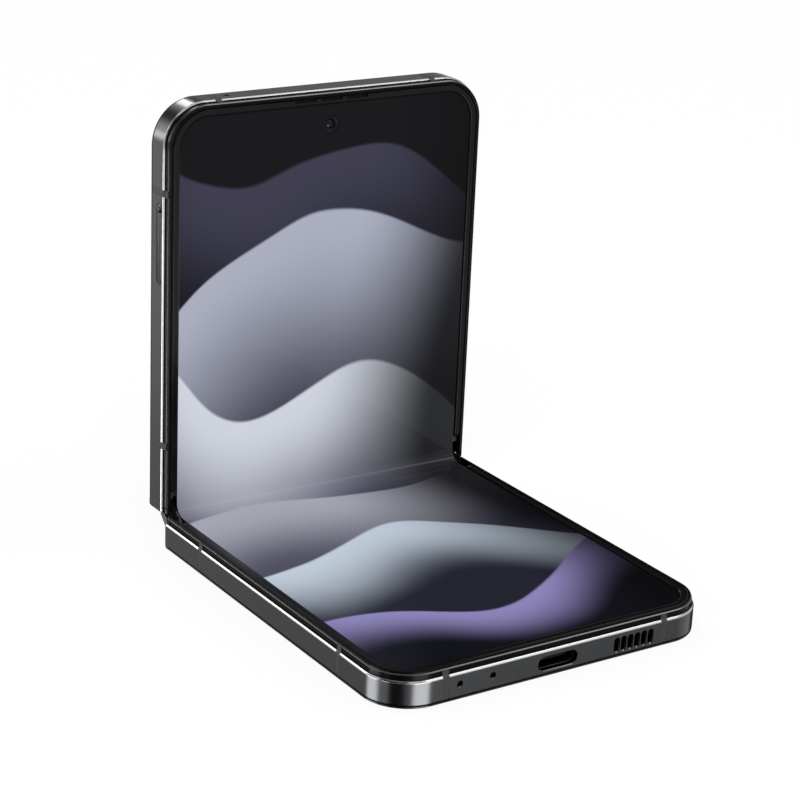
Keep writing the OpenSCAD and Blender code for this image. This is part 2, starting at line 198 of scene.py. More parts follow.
# --- Metal frames ---
# Each half's frame is milled aluminium, blasted and anodised graphite, with a
# polished chamfer. One edge profile runs up both sides and round the free end.
# Millimetres on a half: x across, s from its hinge end, v up from its back.
WIDE, LONG, TURN = 35.95, 82.5, 8.83
HINGE_Y, UPPER_Y, UPPER_Z = 41.25, 48.21735, 6.96735
PORT_V, MIC_XS, KEY_V, TRAY_S, TRAY_V = 2.6, (-21.33, -14.25), 3.1, 55.05, 3.65
CAMERA_XS, CAMERA_S, FLASH_X, FLASH_S, SELFIE_S = (24, 9), 71, 16.5, 60.8, 75.6
KEYS = (("volume_bar", 52.5, 17, 0.35, "volume_key"), ("power_bar", 32.5, 13, 0.05, "power_key"))


def lower_spot(x, s, v):
    return Vector((x, HINGE_Y - s, v)) / 1000


def upper_spot(x, s, v):
    return Vector((x, UPPER_Y - v, UPPER_Z + s)) / 1000


HALVES = (("lower", lower_spot), ("upper", upper_spot))


def loft(bm, rings, place, finish=0, loop=False):
    """Skins rings of points; finish is one material index or one for each side of the ring."""
    rows = [[bm.verts.new(place(*p)) for p in ring] for ring in rings]
    count = len(rows[0])
    for a, b in list(zip(rows, rows[1:])) + ([(rows[-1], rows[0])] if loop else []):
        for i in range(count):
            j = (i + 1) % count
            face = bm.faces.new((a[i], a[j], b[j], b[i]))
            face.material_index = finish[i] if isinstance(finish, list) else finish
    if not loop:
        bm.faces.new(rows[0][::-1])
        bm.faces.new(rows[-1])
    return rows


def rounded(corners):
    """Corners (u, v, radius, finish of the side that follows) as a fine outline and its finishes."""
    places = [Vector(corner[:2]) for corner in corners]
    sides = [places[(i + 1) % len(places)] - here for i, here in enumerate(places)]
    halves = [(-sides[i - 1]).angle(sides[i]) / 2 for i in range(len(places))]
    reaches = [corner[2] / math.tan(half) for corner, half in zip(corners, halves)]
    points, finish = [], []
    for i, (u, v, radius, kind) in enumerate(corners):
        here, half, reach = places[i], halves[i], reaches[i]
        to_last, to_next = -sides[i - 1], sides[i]
        before = corners[i - 1][3]
        if radius == 0:
            points.append((u, v))
            finish.append(kind)
            continue
        back, ahead = to_last.normalized(), to_next.normalized()
        centre = here + (back + ahead).normalized() * (radius / math.sin(half))
        if to_last.length > 1.6 * (reach + reaches[i - 1]):
            points.append(tuple(here + back * reach * 1.5))
            finish.append(before)
        start = here + back * reach - centre
        sweep = start.angle_signed(here + ahead * reach - centre)
        steps = max(3, round(radius * 16))
        for k in range(steps + 1):
            spoke = start.copy()
            spoke.rotate(Matrix.Rotation(-sweep * k / steps, 2))
            points.append(tuple(centre + spoke))
            finish.append(max(before, kind) if k < steps else kind)
        if to_next.length > 1.6 * (reach + reaches[(i + 1) % len(corners)]):
            points.append(tuple(here + ahead * reach * 1.5))
            finish.append(kind)
    return points, finish


def shrunk(outline, by):
    """The outline with every point moved inwards."""
    area = sum(a[0] * b[1] - b[0] * a[1] for a, b in zip(outline, outline[1:] + outline[:1]))
    turn = 1 if area > 0 else -1
    moved = []
    for i, here in enumerate(outline):
        along = Vector(outline[(i + 1) % len(outline)]) - Vector(outline[i - 1])
        normal = Vector((-along.y, along.x)).normalized() * turn
        moved.append((here[0] + normal.x * by, here[1] + normal.y * by))
    return moved


def edge_stops(start):
    """Stops (x, s, outward x, outward s) up the left side, round the free end and down the right."""
    bend, inner = LONG - TURN, WIDE - TURN
    left = [(-WIDE, s, -1, 0) for s in (start, start + 0.6, bend - 0.6)]
    turn = [math.pi * (1 - k / 60) for k in range(31)]
    left += [(TURN * math.cos(a) - inner, bend + TURN * math.sin(a), math.cos(a), math.sin(a)) for a in turn]
    left += [(0.6 - inner, LONG, 0, 1)]
    return left + [(-x, s, -nx, ns) for x, s, nx, ns in reversed(left)]


def edge_ring(stop, outline):
    x, s, nx, ns = stop
    return [(x - nx * u, s - ns * u, v) for u, v in outline]


def edge_run(bm, corners, start, place, end_round=0.04):
    """Runs a profile round a half's edge, with its two hinge ends slightly rounded."""
    outline, finish = rounded(corners)
    stops = edge_stops(start + end_round)
    tips = [(0, end_round), (end_round * 0.3, end_round * 0.35)]
    first = [edge_ring((-WIDE, start + d, -1, 0), shrunk(outline, by)) for d, by in tips]
    last = [edge_ring((WIDE, start + d, 1, 0), shrunk(outline, by)) for d, by in reversed(tips)]
    loft(bm, first + [edge_ring(stop, outline) for stop in stops] + last, place, finish)


def outward(bm):
    """Turns the faces of every closed shell outwards."""
    bmesh.ops.recalc_face_normals(bm, faces=bm.faces)
    waiting = set(bm.faces)
    while waiting:
        shell, open_faces = [], [waiting.pop()]
        while open_faces:
            face = open_faces.pop()
            shell.append(face)
            near = {other for edge in face.edges for other in edge.link_faces} & waiting
            waiting -= near
            open_faces += near
        corners = [[vert.co for vert in face.verts] for face in shell]
        volume = sum(c[0].dot(c[i].cross(c[i + 1])) for c in corners for i in range(1, len(c) - 1))
        if volume < 0:
            bmesh.ops.reverse_faces(bm, faces=shell)


def pour(bm, mesh):
    """Writes a finished shape into a mesh."""
    outward(bm)
    bm.to_mesh(mesh)
    bm.free()
    return mesh


def smooth(made):
    made.data.shade_smooth()
    made.data.set_sharp_from_angle(angle=math.radians(33))
    return made


def piece(name, bm, *materials):
    mesh = pour(bm, bpy.data.meshes.new(name))
    for material in materials:
        mesh.materials.append(material)
    return smooth(placed(name, mesh))


def settle(made):
    """Turns an object and its modifiers into a plain mesh."""
    ready = bpy.data.meshes.new_from_object(made.evaluated_get(bpy.context.evaluated_depsgraph_get()))
    made.modifiers.clear()
    made.data = ready
    return made


def cut(made, cutter):
    """Takes the cutter's shapes out of a piece."""
    tool = placed("cutter", pour(cutter, bpy.data.meshes.new("cutter")))
    step = made.modifiers.new("cut", "BOOLEAN")
    step.object, step.solver, step.operation = tool, "EXACT", "DIFFERENCE"
    settle(made)
    bpy.data.objects.remove(tool)
    return smooth(made)


def fit(made, body, slot, *nodes):
    """Fixes a piece to its body and hides the plain solids that it stands for; the slot is not used."""
    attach(made, body)
    if nodes:
        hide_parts(*nodes)
    return made


def stadium(length, width, grow=0.0, steps=9):
    """The outline of a round-ended slot about its middle."""
    r, run = width / 2 + grow, (length - width) / 2
    turn = [math.pi * (k / steps - 0.5) for k in range(steps + 1)]
    return ([(run + r * math.cos(a), r * math.sin(a)) for a in turn]
            + [(-run - r * math.cos(a), -r * math.sin(a)) for a in turn])


def end_slot(bm, x, v, length, width, depths, place, upright=False):
    """A slot shape through the free end; depths are (s, how much wider)."""
    rings = []
    for s, grow in depths:
        shape = stadium(length, width, grow)
        rings.append([(x - b, s, v + a) if upright else (x + a, s, v + b) for a, b in shape])
    loft(bm, rings, place)


def side_slot(bm, s, v, length, width, depths, place):
    """A slot shape through a side; depths are (x, how much wider)."""
    loft(bm, [[(x, s + a, v + b) for a, b in stadium(length, width, grow)] for x, grow in depths], place)


def block(bm, x0, x1, s0, s1, v0, v1, place, finish=0):
    rows = loft(bm, [[(x0, s0, v), (x1, s0, v), (x1, s1, v), (x0, s1, v)] for v in (v0, v1)], place, finish)
    for corner in rows[0] + rows[1]:
        for face in corner.link_faces:
            face.material_index = finish


BAND_WIDTH, BAND_NEAR, BAND_FAR, BAND_END = 1.35, 14.2, 65.3, 24.3
BAND_CUT = [(37, -1), (37, 6), (34.35, 6), (34.35, 1.26), (35.08, 1.26), (35.08, -1)]


def band_gaps(bm, place):
    b = BAND_WIDTH / 2 + 0.015
    for k in (-1, 1):
        for s in (BAND_NEAR, BAND_FAR):
            loft(bm, [[(k * x, s + d, v) for x, v in BAND_CUT] for d in (-b, b)], place)
        loft(bm, [[(k * BAND_END + d, x + 46.55, v) for x, v in BAND_CUT] for d in (-b, b)], place)


def finish_of(name, base, rough, metallic=0.0, **plain):
    """A principled finish; plain values go on the shader's own sockets."""
    made = bpy.data.materials.new(name)
    made.use_nodes = True
    shader = made.node_tree.nodes["Principled BSDF"]
    fill(shader, {"Base Color": (*base, 1), "Roughness": rough, "Metallic": metallic})
    fill(shader, {key.replace("_", " "): value for key, value in plain.items()})
    return made, made.node_tree, shader


def inlets(tree, inputs):
    """Gives a node group its inputs and their usual values."""
    kinds = {int: "Int", float: "Float", tuple: "Color"}
    for label, value in inputs.items():
        kind = "NodeSocket" + kinds[type(value)]
        tree.interface.new_socket(label, in_out="INPUT", socket_type=kind).default_value = value


def effect(name, inputs):
    """Starts a shader group that alters a colour and a roughness, and gives a height for relief."""
    tree = bpy.data.node_groups.new(name, "ShaderNodeTree")
    inlets(tree, {"Color": (0.5, 0.5, 0.5, 1), "Roughness": 0.3, **inputs})
    for label, kind in (("Color", "Color"), ("Roughness", "Float"), ("Height", "Float")):
        tree.interface.new_socket(label, in_out="OUTPUT", socket_type="NodeSocket" + kind)
    return tree, tree.nodes.new("NodeGroupInput").outputs, tree.nodes.new("NodeGroupOutput").inputs


def vary(tree, take, give, pattern, tint_change, rough_change, height):
    """Lets a pattern round 0.5 change a group's colour and roughness."""
    off_middle = maths(tree, "SUBTRACT", pattern, 0.5)
    factor = maths(tree, "MULTIPLY_ADD", off_middle, tint_change, 1.0)
    tinted = output(tree, "VectorMath", {0: take["Color"], "Scale": factor}, operation="SCALE")
    rougher = maths(tree, "MULTIPLY_ADD", off_middle, rough_change, take["Roughness"])
    for label, value in (("Color", tinted), ("Roughness", rougher), ("Height", height)):
        tree.links.new(value, give[label])


def wear(tree, shader, group, feeds, bump, distance):
    """Puts a group's colour, roughness and relief on a shader."""
    skin = tree.nodes.new("ShaderNodeGroup")
    skin.node_tree = group
    fill(skin, feeds)
    fill(shader, {"Base Color": skin.outputs["Color"], "Roughness": skin.outputs["Roughness"]})
    if bump:
        relief = {"Height": skin.outputs["Height"], "Strength": bump, "Distance": distance}
        fill(shader, {"Normal": output(tree, "Bump", relief)})


def on_object(tree):
    """Where a point is on its own object."""
    return node(tree, "TexCoord").outputs["Object"]


def noise(tree, spot, scale, detail):
    return node(tree, "TexNoise", {"Vector": spot, "Scale": scale, "Detail": detail}).outputs["Fac"]


# Fine blast grain with a broad, faint cloud, for anodised and moulded skins.
grain, take, give = effect(
    "skin_grain", {"Grain": 9000.0, "Cloud": 45.0, "Tint change": 0.06, "Rough change": 0.08})
spot = on_object(grain)
fine = noise(grain, spot, take["Grain"], 2.0)
broad = noise(grain, spot, take["Cloud"], 3.0)
mixed = maths(grain, "ADD", maths(grain, "MULTIPLY", fine, 0.5), maths(grain, "MULTIPLY", broad, 0.5))
vary(grain, take, give, mixed, take["Tint change"], take["Rough change"], fine)


def grained(name, base, rough, metallic=0.0, bump=0.0, scale=9000.0, cloud=45.0, tint=0.25, change=0.2, **plain):
    """A finish with the skin grain in its colour, roughness and, for coarse skins, relief."""
    made, tree, shader = finish_of(name, base, rough, metallic, **plain)
    feeds = {"Color": (*base, 1), "Roughness": rough, "Grain": scale, "Cloud": cloud,
             "Tint change": tint, "Rough change": change}
    wear(tree, shader, grain, feeds, bump, 0.00002)
    return made


GRAPHITE = (0.066, 0.068, 0.071)
graphite = grained("graphite_anodised", GRAPHITE, 0.24, 1.0, bump=0.05, change=0.1)
chamfer = grained("polished_chamfer", (0.40, 0.403, 0.406), 0.16, 1.0, tint=0.04, change=0.05)
# Near black with no sheen on the hinge pockets' walls: painted shade in those recesses, not a finish of the metal.
pocket_shade_black = grained("pocket_shade_black", (0.008, 0.008, 0.0085), 0.6, Specular_IOR_Level=0.0)
# Profile corners: how far in from the edge, v, radius, and finish (0 graphite, 1 chamfer, 2 pocket painted black
# as shade).
FRAME_EDGE = [(0, 0.62, 0.12, 0), (0, 4.93, 0.25, 1), (0.26, 5.38, 0.06, 0), (0.31, 5.15, 0, 0),
              (1.15, 5.15, 0.05, 0), (1.15, 1.25, 0.1, 0), (2.6, 1.25, 0.1, 0), (2.6, 0.62, 0.06, 0)]
HINGE_LIP = [(0, 0.06, 0.42, 0), (0, 1.1, 0.06, 0), (2.8, 1.1, 0.1, 0), (2.8, 0.62, 0.05, 0),
             (1.35, 0.62, 0, 0), (1.35, 0.06, 0.06, 0)]


def bar(bm, outline, levels, place, finish=0):
    """Lofts an outline along x through levels (x, how much smaller)."""
    loft(bm, [[(x, a, b) for a, b in shrunk(outline, by)] for x, by in levels], place, finish)


def frame_half(name, place, cutter):
    bm = bmesh.new()
    edge_run(bm, FRAME_EDGE, 0.0, place)
    made = cut(piece(name, bm, graphite, chamfer, pocket_shade_black), cutter)
    bm = bmesh.new()
    bm.from_mesh(made.data)
    bar(bm, rounded(HINGE_LIP)[0], ((-35.9, 0.05), (-35.85, 0), (35.85, 0), (35.9, 0.05)), place)
    pour(bm, made.data)
    return smooth(made)


def boss_pockets(bm, place):
    """Relief inside both hinge ends of a frame, where the spine's end bosses turn; its walls take the near-black
    painted shade.
    """
    for k in (-1, 1):
        block(bm, k * 34, k * 35.42, -1, 1.72, 3.2, 6, place, 2)


tool = bmesh.new()
band_gaps(tool, lower_spot)
boss_pockets(tool, lower_spot)
end_slot(tool, 0, PORT_V, 8.7, 2.7,
         [(82.7, 0.3), (82.4, 0), (81.35, 0), (81.3, 0.41), (73, 0.41)], lower_spot)
for i in range(6):
    end_slot(tool, 13.4 + 1.565 * i, PORT_V, 2.7, 0.95,
             [(82.7, 0.4), (82.28, 0), (80.9, 0)], lower_spot, upright=True)
for x in MIC_XS:
    end_slot(tool, x, 3.02, 0.77, 0.76,
             [(82.7, 0.46), (82.36, 0.15), (81.45, 0.13), (81.44, -0.15), (80.9, -0.15)], lower_spot)
fit(frame_half("lower_frame_shell", lower_spot, tool), "lower_half", "frame_metal", "lower_frame")

tool = bmesh.new()
band_gaps(tool, upper_spot)
boss_pockets(tool, upper_spot)
side_slot(tool, TRAY_S, TRAY_V, 15.95, 2.3, [(-36.1, 0.2), (-35.87, 0), (-34.6, 0)], upper_spot)
for _, s, length, _, _ in KEYS:
    side_slot(tool, s, KEY_V, length + 0.2, 2.7, [(36.1, 0.2), (35.87, 0), (34.6, 0)], upper_spot)
end_slot(tool, -21.1, 2.5, 1.01, 1.0, [(82.65, 0.4), (82.4, 0.12), (80.9, 0.1)], upper_spot)
fit(frame_half("upper_frame_shell", upper_spot, tool), "upper_half", "frame_metal", "upper_frame")


# --- Antenna bands ---
# Short plastic fills, moulded into slots through each frame so that the radio
# waves get out, and machined with the metal: they sit a hair below it.
band_plastic = grained("band_plastic", (0.026, 0.0265, 0.028), 0.42, scale=5000.0, Specular_IOR_Level=0.35)
BAND_EDGE = [(0.014, 0.635, 0.12, 0), (0.014, 4.93, 0.25, 0), (0.26, 5.36, 0.04, 0), (0.31, 6.36, 0.05, 0),
             (0.4, 6.42, 0.03, 0), (0.41, 5.17, 0, 0), (1.14, 5.17, 0, 0), (1.14, 1.27, 0, 0),
             (0.86, 1.27, 0, 0), (0.86, 0.635, 0, 0)]
outline = rounded(BAND_EDGE)[0]
across = (-BAND_WIDTH / 2, BAND_WIDTH / 2)
for side, place in HALVES:
    bm = bmesh.new()
    for k in (-1, 1):
        for s in (BAND_NEAR, BAND_FAR):
            loft(bm, [edge_ring((k * WIDE, s + d, k, 0), outline) for d in across], place)
        loft(bm, [edge_ring((k * BAND_END + d, LONG, 0, 1), outline) for d in across], place)
    fit(piece(side + "_band_fills", bm, band_plastic), side + "_half", "band_plastic", side + "_antenna_bands")


# --- Rims ---
# A soft black bumper round each display, moulded in one piece and bonded to the
# frame's ledge. It keeps the two displays apart when the phone is shut.
rim_black = grained("rim_black", (0.0025, 0.0025, 0.0028), 0.2, scale=6000.0, change=0.08,
                    Specular_IOR_Level=0.045)
rim_satin = grained("rim_satin", (0.003, 0.003, 0.0033), 0.24, scale=6000.0, change=0.08,
                    Specular_IOR_Level=0.8)
RIM_EDGE = [(0.42, 5.17, 0, 0), (0.42, 6.32, 0.14, 1), (0.61, 6.46, 0.02, 0), (0.62, 6.9, 0.15, 0),
            (1.3, 6.84, 0.2, 0), (1.38, 5.9, 0, 0), (1.2, 5.9, 0, 0), (1.2, 5.17, 0, 0)]
nose, marks = rounded(RIM_EDGE[:4] + [(0.97, 6.9, 0.06, 0), (0.97, 5.17, 0, 0)])
for side, place in HALVES:
    bm = bmesh.new()
    edge_run(bm, RIM_EDGE, 0.9, place, end_round=0.06)
    for k in (-1, 1):
        loft(bm, [edge_ring((k * WIDE, s, k, 0), shrunk(nose, by))
                  for s, by in ((0.01, 0.06), (0.02, 0.02), (0.05, 0), (1.3, 0))], place, marks)
    fit(piece(side + "_rim_bumper", bm, rim_black, rim_satin), side + "_half", "rim_plastic", side + "_rim")


# --- Bezels ---
# A thin black trim laid over the display's edge. The upper one has three slots
# over the earpiece, and both stop short of the hinge.
bezel_black = grained("bezel_black", (0.003, 0.003, 0.0033), 0.17, scale=6000.0, change=0.08,
                      Specular_IOR_Level=0.13)
BEZEL_EDGE = [(1.405, 6.44, 0, 0), (1.405, 6.72, 0.1, 0), (2.6, 6.72, 0.14, 0), (2.6, 6.44, 0, 0)]


def bezel(name, place):
    bm = bmesh.new()
    edge_run(bm, BEZEL_EDGE, 4.65, place, end_round=0.06)
    return piece(name, bm, bezel_black)


fit(bezel("lower_bezel_trim", lower_spot), "lower_half", "bezel_plastic", "lower_bezel")
tool = bmesh.new()
for x in (-5.9, 0, 5.9):
    loft(tool, [[(x + a, 80.78 + b, v) for a, b in stadium(4.9, 0.55, grow)]
                for v, grow in ((7.0, 0.03), (6.72, 0), (6.4, 0))], upper_spot)
fit(cut(bezel("upper_bezel_trim", upper_spot), tool), "upper_half", "bezel_plastic", "upper_bezel")


# --- Back glass ---
# A sheet of black coated glass in the back of each half, ground round at its
# edge. The upper one has holes for the two cameras and the flash.
def plate_outline(inset, start, soft):
    """The plan of a sheet inside a half's edge, with soft corners at the hinge end."""
    r, w, end = TURN - inset, WIDE - inset, LONG - inset
    points = []
    for cx, cs, radius, first in ((w - r, end - r, r, 0), (r - w, end - r, r, 90),
                                  (soft - w, start + soft, soft, 180), (w - soft, start + soft, soft, 270)):
        n = 20 if radius > 2 else 6
        points += [(cx + radius * math.cos(math.radians(first + 90 * k / n)),
                    cs + radius * math.sin(math.radians(first + 90 * k / n))) for k in range(n + 1)]
    return points


def disc(bm, x, s, levels, place, sides=64):
    """A turned shape through levels (radius, v), closed at both ends."""
    turn = [2 * math.pi * k / sides for k in range(sides)]
    loft(bm, [[(x + r * math.cos(a), s + r * math.sin(a), v) for a in turn] for r, v in levels], place)


back_black = grained("back_black_glass", (0.007, 0.007, 0.0075), 0.06, tint=0.2, change=0.03, IOR=1.5)
GLASS_LEVELS = [(0.42, 0.6), (0.38, 0.56), (0.38, 0.43), (0.13, 0.42), (0.06, 0.38),
                (0.04, 0.3), (0.07, 0.17), (0.15, 0.06), (0.28, 0.01), (0.45, 0.0)]


def back_pane(name, place):
    bm = bmesh.new()
    loft(bm, [[(x, s, v) for x, s in plate_outline(inset, 1.36 + 0.1 * inset, 0.12)]
              for inset, v in GLASS_LEVELS], place)
    return piece(name, bm, back_black)


fit(back_pane("lower_back_pane", lower_spot), "lower_half", "back_glass", "lower_back_glass")
tool = bmesh.new()
for x in CAMERA_XS:
    disc(tool, x, CAMERA_S, [(5.6, -1), (5.6, 2)], upper_spot)
disc(tool, FLASH_X, FLASH_S, [(1.5, -1), (1.5, 2)], upper_spot, sides=40)
fit(cut(back_pane("upper_back_pane", upper_spot), tool), "upper_half", "back_glass", "upper_back_glass")


# --- Display ---
# One flexible sheet of polymer over both halves. It lies flat on each plate and
# rolls through the hinge in two middle strips, which are left fixed where they are built.
FOLD_R, FOLD_UP, FOLD_S, SHEET = 2.6, 2.63930, 2.13255, 0.4
SPINE_Y, SPINE_Z, HALF_ROOT = 40.98368, 7.23368, math.sqrt(0.5)


def spine_spot(x, p, t):
    return Vector((x, SPINE_Y + (p - t) * HALF_ROOT, SPINE_Z + (p + t) * HALF_ROOT)) / 1000


screen, tree, shader = finish_of("screen_stack", (0.002, 0.002, 0.0023), 0.06, Specular_IOR_Level=0.065)
sheet_map = output(tree, "UVMap", uv_map="sheet")
parts = node(tree, "SeparateXYZ", {0: sheet_map}).outputs
across = maths(tree, "MULTIPLY_ADD", parts[0], 7.19, -3.595)
along = maths(tree, "MULTIPLY", parts[1], 16.5)
drift = noise(tree, output(tree, "CombineXYZ", {0: across, 1: along}), 0.22, 1.0)
swell = maths(tree, "MULTIPLY_ADD", drift, 1.6, -0.8)


def ramp(tree, value, low, high, start=0.0, end=1.0):
    """A soft change from start to end while the value goes from low to high."""
    return output(tree, "MapRange", {0: value, 1: low, 2: high, 3: start, 4: end},
                  interpolation_type="SMOOTHSTEP")


picture = (0.004, 0.004, 0.006, 1)
# Each wave: height of its crest, swing, pitch, phase, tilt, fade length, crest and body colours.
WAVES = [
    (15.0, 0.7, 0.75, 0.4, -0.28, 3.2, (0.045, 0.043, 0.075), (0.004, 0.004, 0.007)),
    (13.2, 1.1, 0.62, 2.2, 0.30, 4.4, (0.40, 0.42, 0.52), (0.050, 0.048, 0.075)),
    (10.4, 0.9, 0.85, 0.2, -0.34, 3.8, (0.62, 0.65, 0.72), (0.065, 0.060, 0.110)),
    (7.9, 0.8, 0.70, 3.6, 0.22, 3.2, (0.36, 0.36, 0.42), (0.05, 0.048, 0.085)),
    (5.0, 0.9, 0.80, 1.3, -0.20, 2.6, (0.50, 0.57, 0.66), (0.015, 0.016, 0.028)),
    (2.4, 0.6, 0.95, 4.4, 0.16, 1.6, (0.26, 0.23, 0.48), (0.004, 0.004, 0.008)),
]
for crest, swing, pitch, phase, tilt, fade, bright, body in WAVES:
    wave = maths(tree, "SINE", maths(tree, "MULTIPLY_ADD", across, pitch, phase))
    line = maths(tree, "MULTIPLY_ADD", wave, swing, maths(tree, "MULTIPLY_ADD", across, tilt, crest))
    below = maths(tree, "SUBTRACT", maths(tree, "ADD", line, swell), along)
    tone = output(tree, "MixRGB", {0: ramp(tree, below, 0.0, fade), 1: (*bright, 1), 2: (*body, 1)})
    picture = output(tree, "MixRGB", {0: ramp(tree, below, -0.04, 0.05), 1: picture, 2: tone})


def lit_area(tree, across, along):
    """1 inside the lit part of the sheet, whose corners are round, 0 on its black border."""
    r, wide, tall = 0.596, 3.308, 8.25 - 0.287
    dx = maths(tree, "MAXIMUM", maths(tree, "SUBTRACT", maths(tree, "ABSOLUTE", across), wide - r), 0.0)
    off = maths(tree, "ABSOLUTE", maths(tree, "SUBTRACT", along, 8.25))
    dy = maths(tree, "MAXIMUM", maths(tree, "SUBTRACT", off, tall - r), 0.0)
    squares = maths(tree, "ADD", maths(tree, "MULTIPLY", dx, dx), maths(tree, "MULTIPLY", dy, dy))
    return maths(tree, "LESS_THAN", maths(tree, "SQRT", squares), r)


sway = maths(tree, "SINE", maths(tree, "MULTIPLY_ADD", along, 0.42, 1.1))
aside = maths(tree, "ABSOLUTE", maths(tree, "SUBTRACT", across, maths(tree, "MULTIPLY_ADD", sway, 0.7, -1.5)))
shade = ramp(tree, aside, 1.7, 4.9, 1.0, 0.03)
picture = output(tree, "VectorMath", {0: picture, "Scale": shade}, operation="SCALE")
shown = output(tree, "MixRGB", {0: lit_area(tree, across, along), 1: (0, 0, 0, 1), 2: picture})
fill(shader, {"Emission Color": shown, "Emission Strength": 1.0})


def map_sheet(made):
    """Unrolls the sheet into its own map: 0 to 1 across, and 0 to 1 from the lower end to the upper one."""
    layer = made.data.uv_layers.new(name="sheet")
    for loop in made.data.loops:
        x, y, z = made.data.vertices[loop.vertex_index].co * 1000
        low, high = HINGE_Y - y, z - UPPER_Z
        p = ((y - SPINE_Y) + (z - SPINE_Z)) * HALF_ROOT
        t = ((z - SPINE_Z) - (y - SPINE_Y)) * HALF_ROOT
        if low >= FOLD_S and y < 39.2:
            share = (LONG - low) / 165
        elif high >= FOLD_S:
            share = (LONG + high) / 165
        else:
            share = 0.5 + math.degrees(math.atan2(p, FOLD_UP - t)) / 45 * FOLD_S / 165
        layer.data[loop.index].uv = (x / 71.9 + 0.5, share)


SHEET_LEVELS = [(1.6, 6.1), (1.55, 6.15), (1.55, 6.4), (1.6, 6.43), (2.75, 6.43),
                (2.76, 6.435), (2.765, 6.495), (2.775, 6.5), (2.92, 6.5)]


def flat_screen(name, place):
    """The sheet on one half: its clear film stands a hair proud of the black border, up to the fold."""
    bm = bmesh.new()
    loft(bm, [[(x, s, v) for x, s in plate_outline(inset, 4.75 + 0.012 * k, 0.3)]
              for k, (inset, v) in enumerate(SHEET_LEVELS)], place)
    return piece(name, bm, screen)


lower_screen = flat_screen("lower_screen", lower_spot)
tool = bmesh.new()
disc(tool, 0, SELFIE_S, [(2.0, 5), (2.0, 7)], upper_spot, sides=72)
upper_screen = cut(flat_screen("upper_screen", upper_spot), tool)


def fold_strip(name, half, place):
    """Half of the strip in the hinge: flat from the screen's end, then round to the spine's middle."""
    bm = bmesh.new()
    edge = 33.08
    across = [(-edge, 0.02), (-edge + 0.01, 0.005), (-edge + 0.07, 0.0),
              (edge - 0.07, 0.0), (edge - 0.01, 0.005), (edge, 0.02)]
    rows = []
    for s in (4.78, 4.0, 3.2, 2.6, 2.3):
        rows.append([place(x, s, 6.5 - d) for x, d in across]
                    + [place(x, s, 6.1 + d) for x, d in reversed(across)])
    for k in range(25):
        a = math.radians(45 - 45 * k / 24) * half
        over = [(x, FOLD_R + d) for x, d in across] + [(x, FOLD_R + SHEET - d) for x, d in reversed(across)]
        rows.append([spine_spot(x, r * math.sin(a), FOLD_UP - r * math.cos(a)) for x, r in over])
    loft(bm, rows, lambda *spot: spot)
    return piece(name, bm, screen)


lower_strip = fold_strip("fold_strip_lower", -1, lower_spot)
upper_strip = fold_strip("fold_strip_upper", 1, upper_spot)
for made in (lower_screen, upper_screen, lower_strip, upper_strip):
    map_sheet(made)
fit(lower_screen, "lower_half", "display_stack", "display_lower")
fit(upper_screen, "upper_half", "display_stack", "display_upper")
for made, a, b, way in ((lower_strip, "lower_half", "hinge_spine", -1),
                        (upper_strip, "hinge_spine", "upper_half", 1)):
    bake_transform(made)
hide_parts("display_fold")


# --- Things that repeat ---
# Wires, contacts, windings and screws are set out by node trees, then kept as
# plain meshes in their place.
def start_tree(name, inputs):
    tree = bpy.data.node_groups.new(name, "GeometryNodeTree")
    tree.interface.new_socket("Geometry", in_out="INPUT", socket_type="NodeSocketGeometry")
    inlets(tree, inputs)
    tree.interface.new_socket("Geometry", in_out="OUTPUT", socket_type="NodeSocketGeometry")
    return tree, tree.nodes.new("NodeGroupInput").outputs


def end_tree(tree, shape, material):
    """Gives a tree's shape its finish and its way out."""
    whole = output(tree, "RealizeInstances", {0: shape})
    dressed = output(tree, "SetMaterial", {"Geometry": whole, "Material": material})
    tree.links.new(dressed, tree.nodes.new("NodeGroupOutput").inputs[0])
    return tree


def joined(tree, *shapes):
    both = tree.nodes.new("GeometryNodeJoinGeometry")
    for shape in shapes:
        tree.links.new(shape, both.inputs[0])
    return both.outputs[0]


def repeated(tree, points, shape):
    return output(tree, "InstanceOnPoints", {"Points": points, "Instance": shape})


def grown(name, tree, values, place, points=()):
    """Runs a tree on points (x, s, v) and puts its shape in place."""
    seeds = bpy.data.meshes.new(name + "_points")
    seeds.from_pydata(points, [], [])
    made = placed(name, seeds)
    step = made.modifiers.new("made", "NODES")
    step.node_group = tree
    for label, value in values.items():
        step[tree.interface.items_tree[label].identifier] = value
    settle(made)
    bm = bmesh.new()
    bm.from_mesh(made.data)
    for vert in bm.verts:
        vert.co = place(*vert.co)
    bmesh.ops.remove_doubles(bm, verts=bm.verts, dist=0.0000001)
    pour(bm, made.data)
    return smooth(made)


# --- USB socket ---
# A drawn stainless shell behind the milled mouth, with a black moulded tongue
# that carries twelve gilt contacts on each face. Both are soldered to a board.
# The shell's steel is coloured far darker than stainless: painted shade inside the port's mouth.
port_steel = grained("port_steel", (0.045, 0.045, 0.047), 0.45, 1.0)
tongue_black = grained("tongue_black", (0.006, 0.006, 0.0065), 0.45, scale=5000.0, Specular_IOR_Level=0.12)
gilt = grained("gilt_contacts", (0.83, 0.60, 0.26), 0.25, 1.0, tint=0.1)
bm = bmesh.new()
end_slot(bm, 0, PORT_V, 9.24, 3.46,
         [(74.0, -0.15), (74.15, 0), (81.2, 0), (81.33, -0.1), (81.33, -0.35), (81.2, -0.45), (74.4, -0.45)],
         lower_spot)
fit(piece("usb_shell", bm, port_steel), "lower_half", "port_steel", "usb_c_shell")
bm = bmesh.new()
end_slot(bm, 0, PORT_V, 6.68, 0.7, [(74.4, 0), (80.3, 0), (80.5, -0.06), (80.6, -0.2)], lower_spot)
fit(piece("usb_tongue", bm, tongue_black), "lower_half", "black_plastic", "usb_c_tongue")

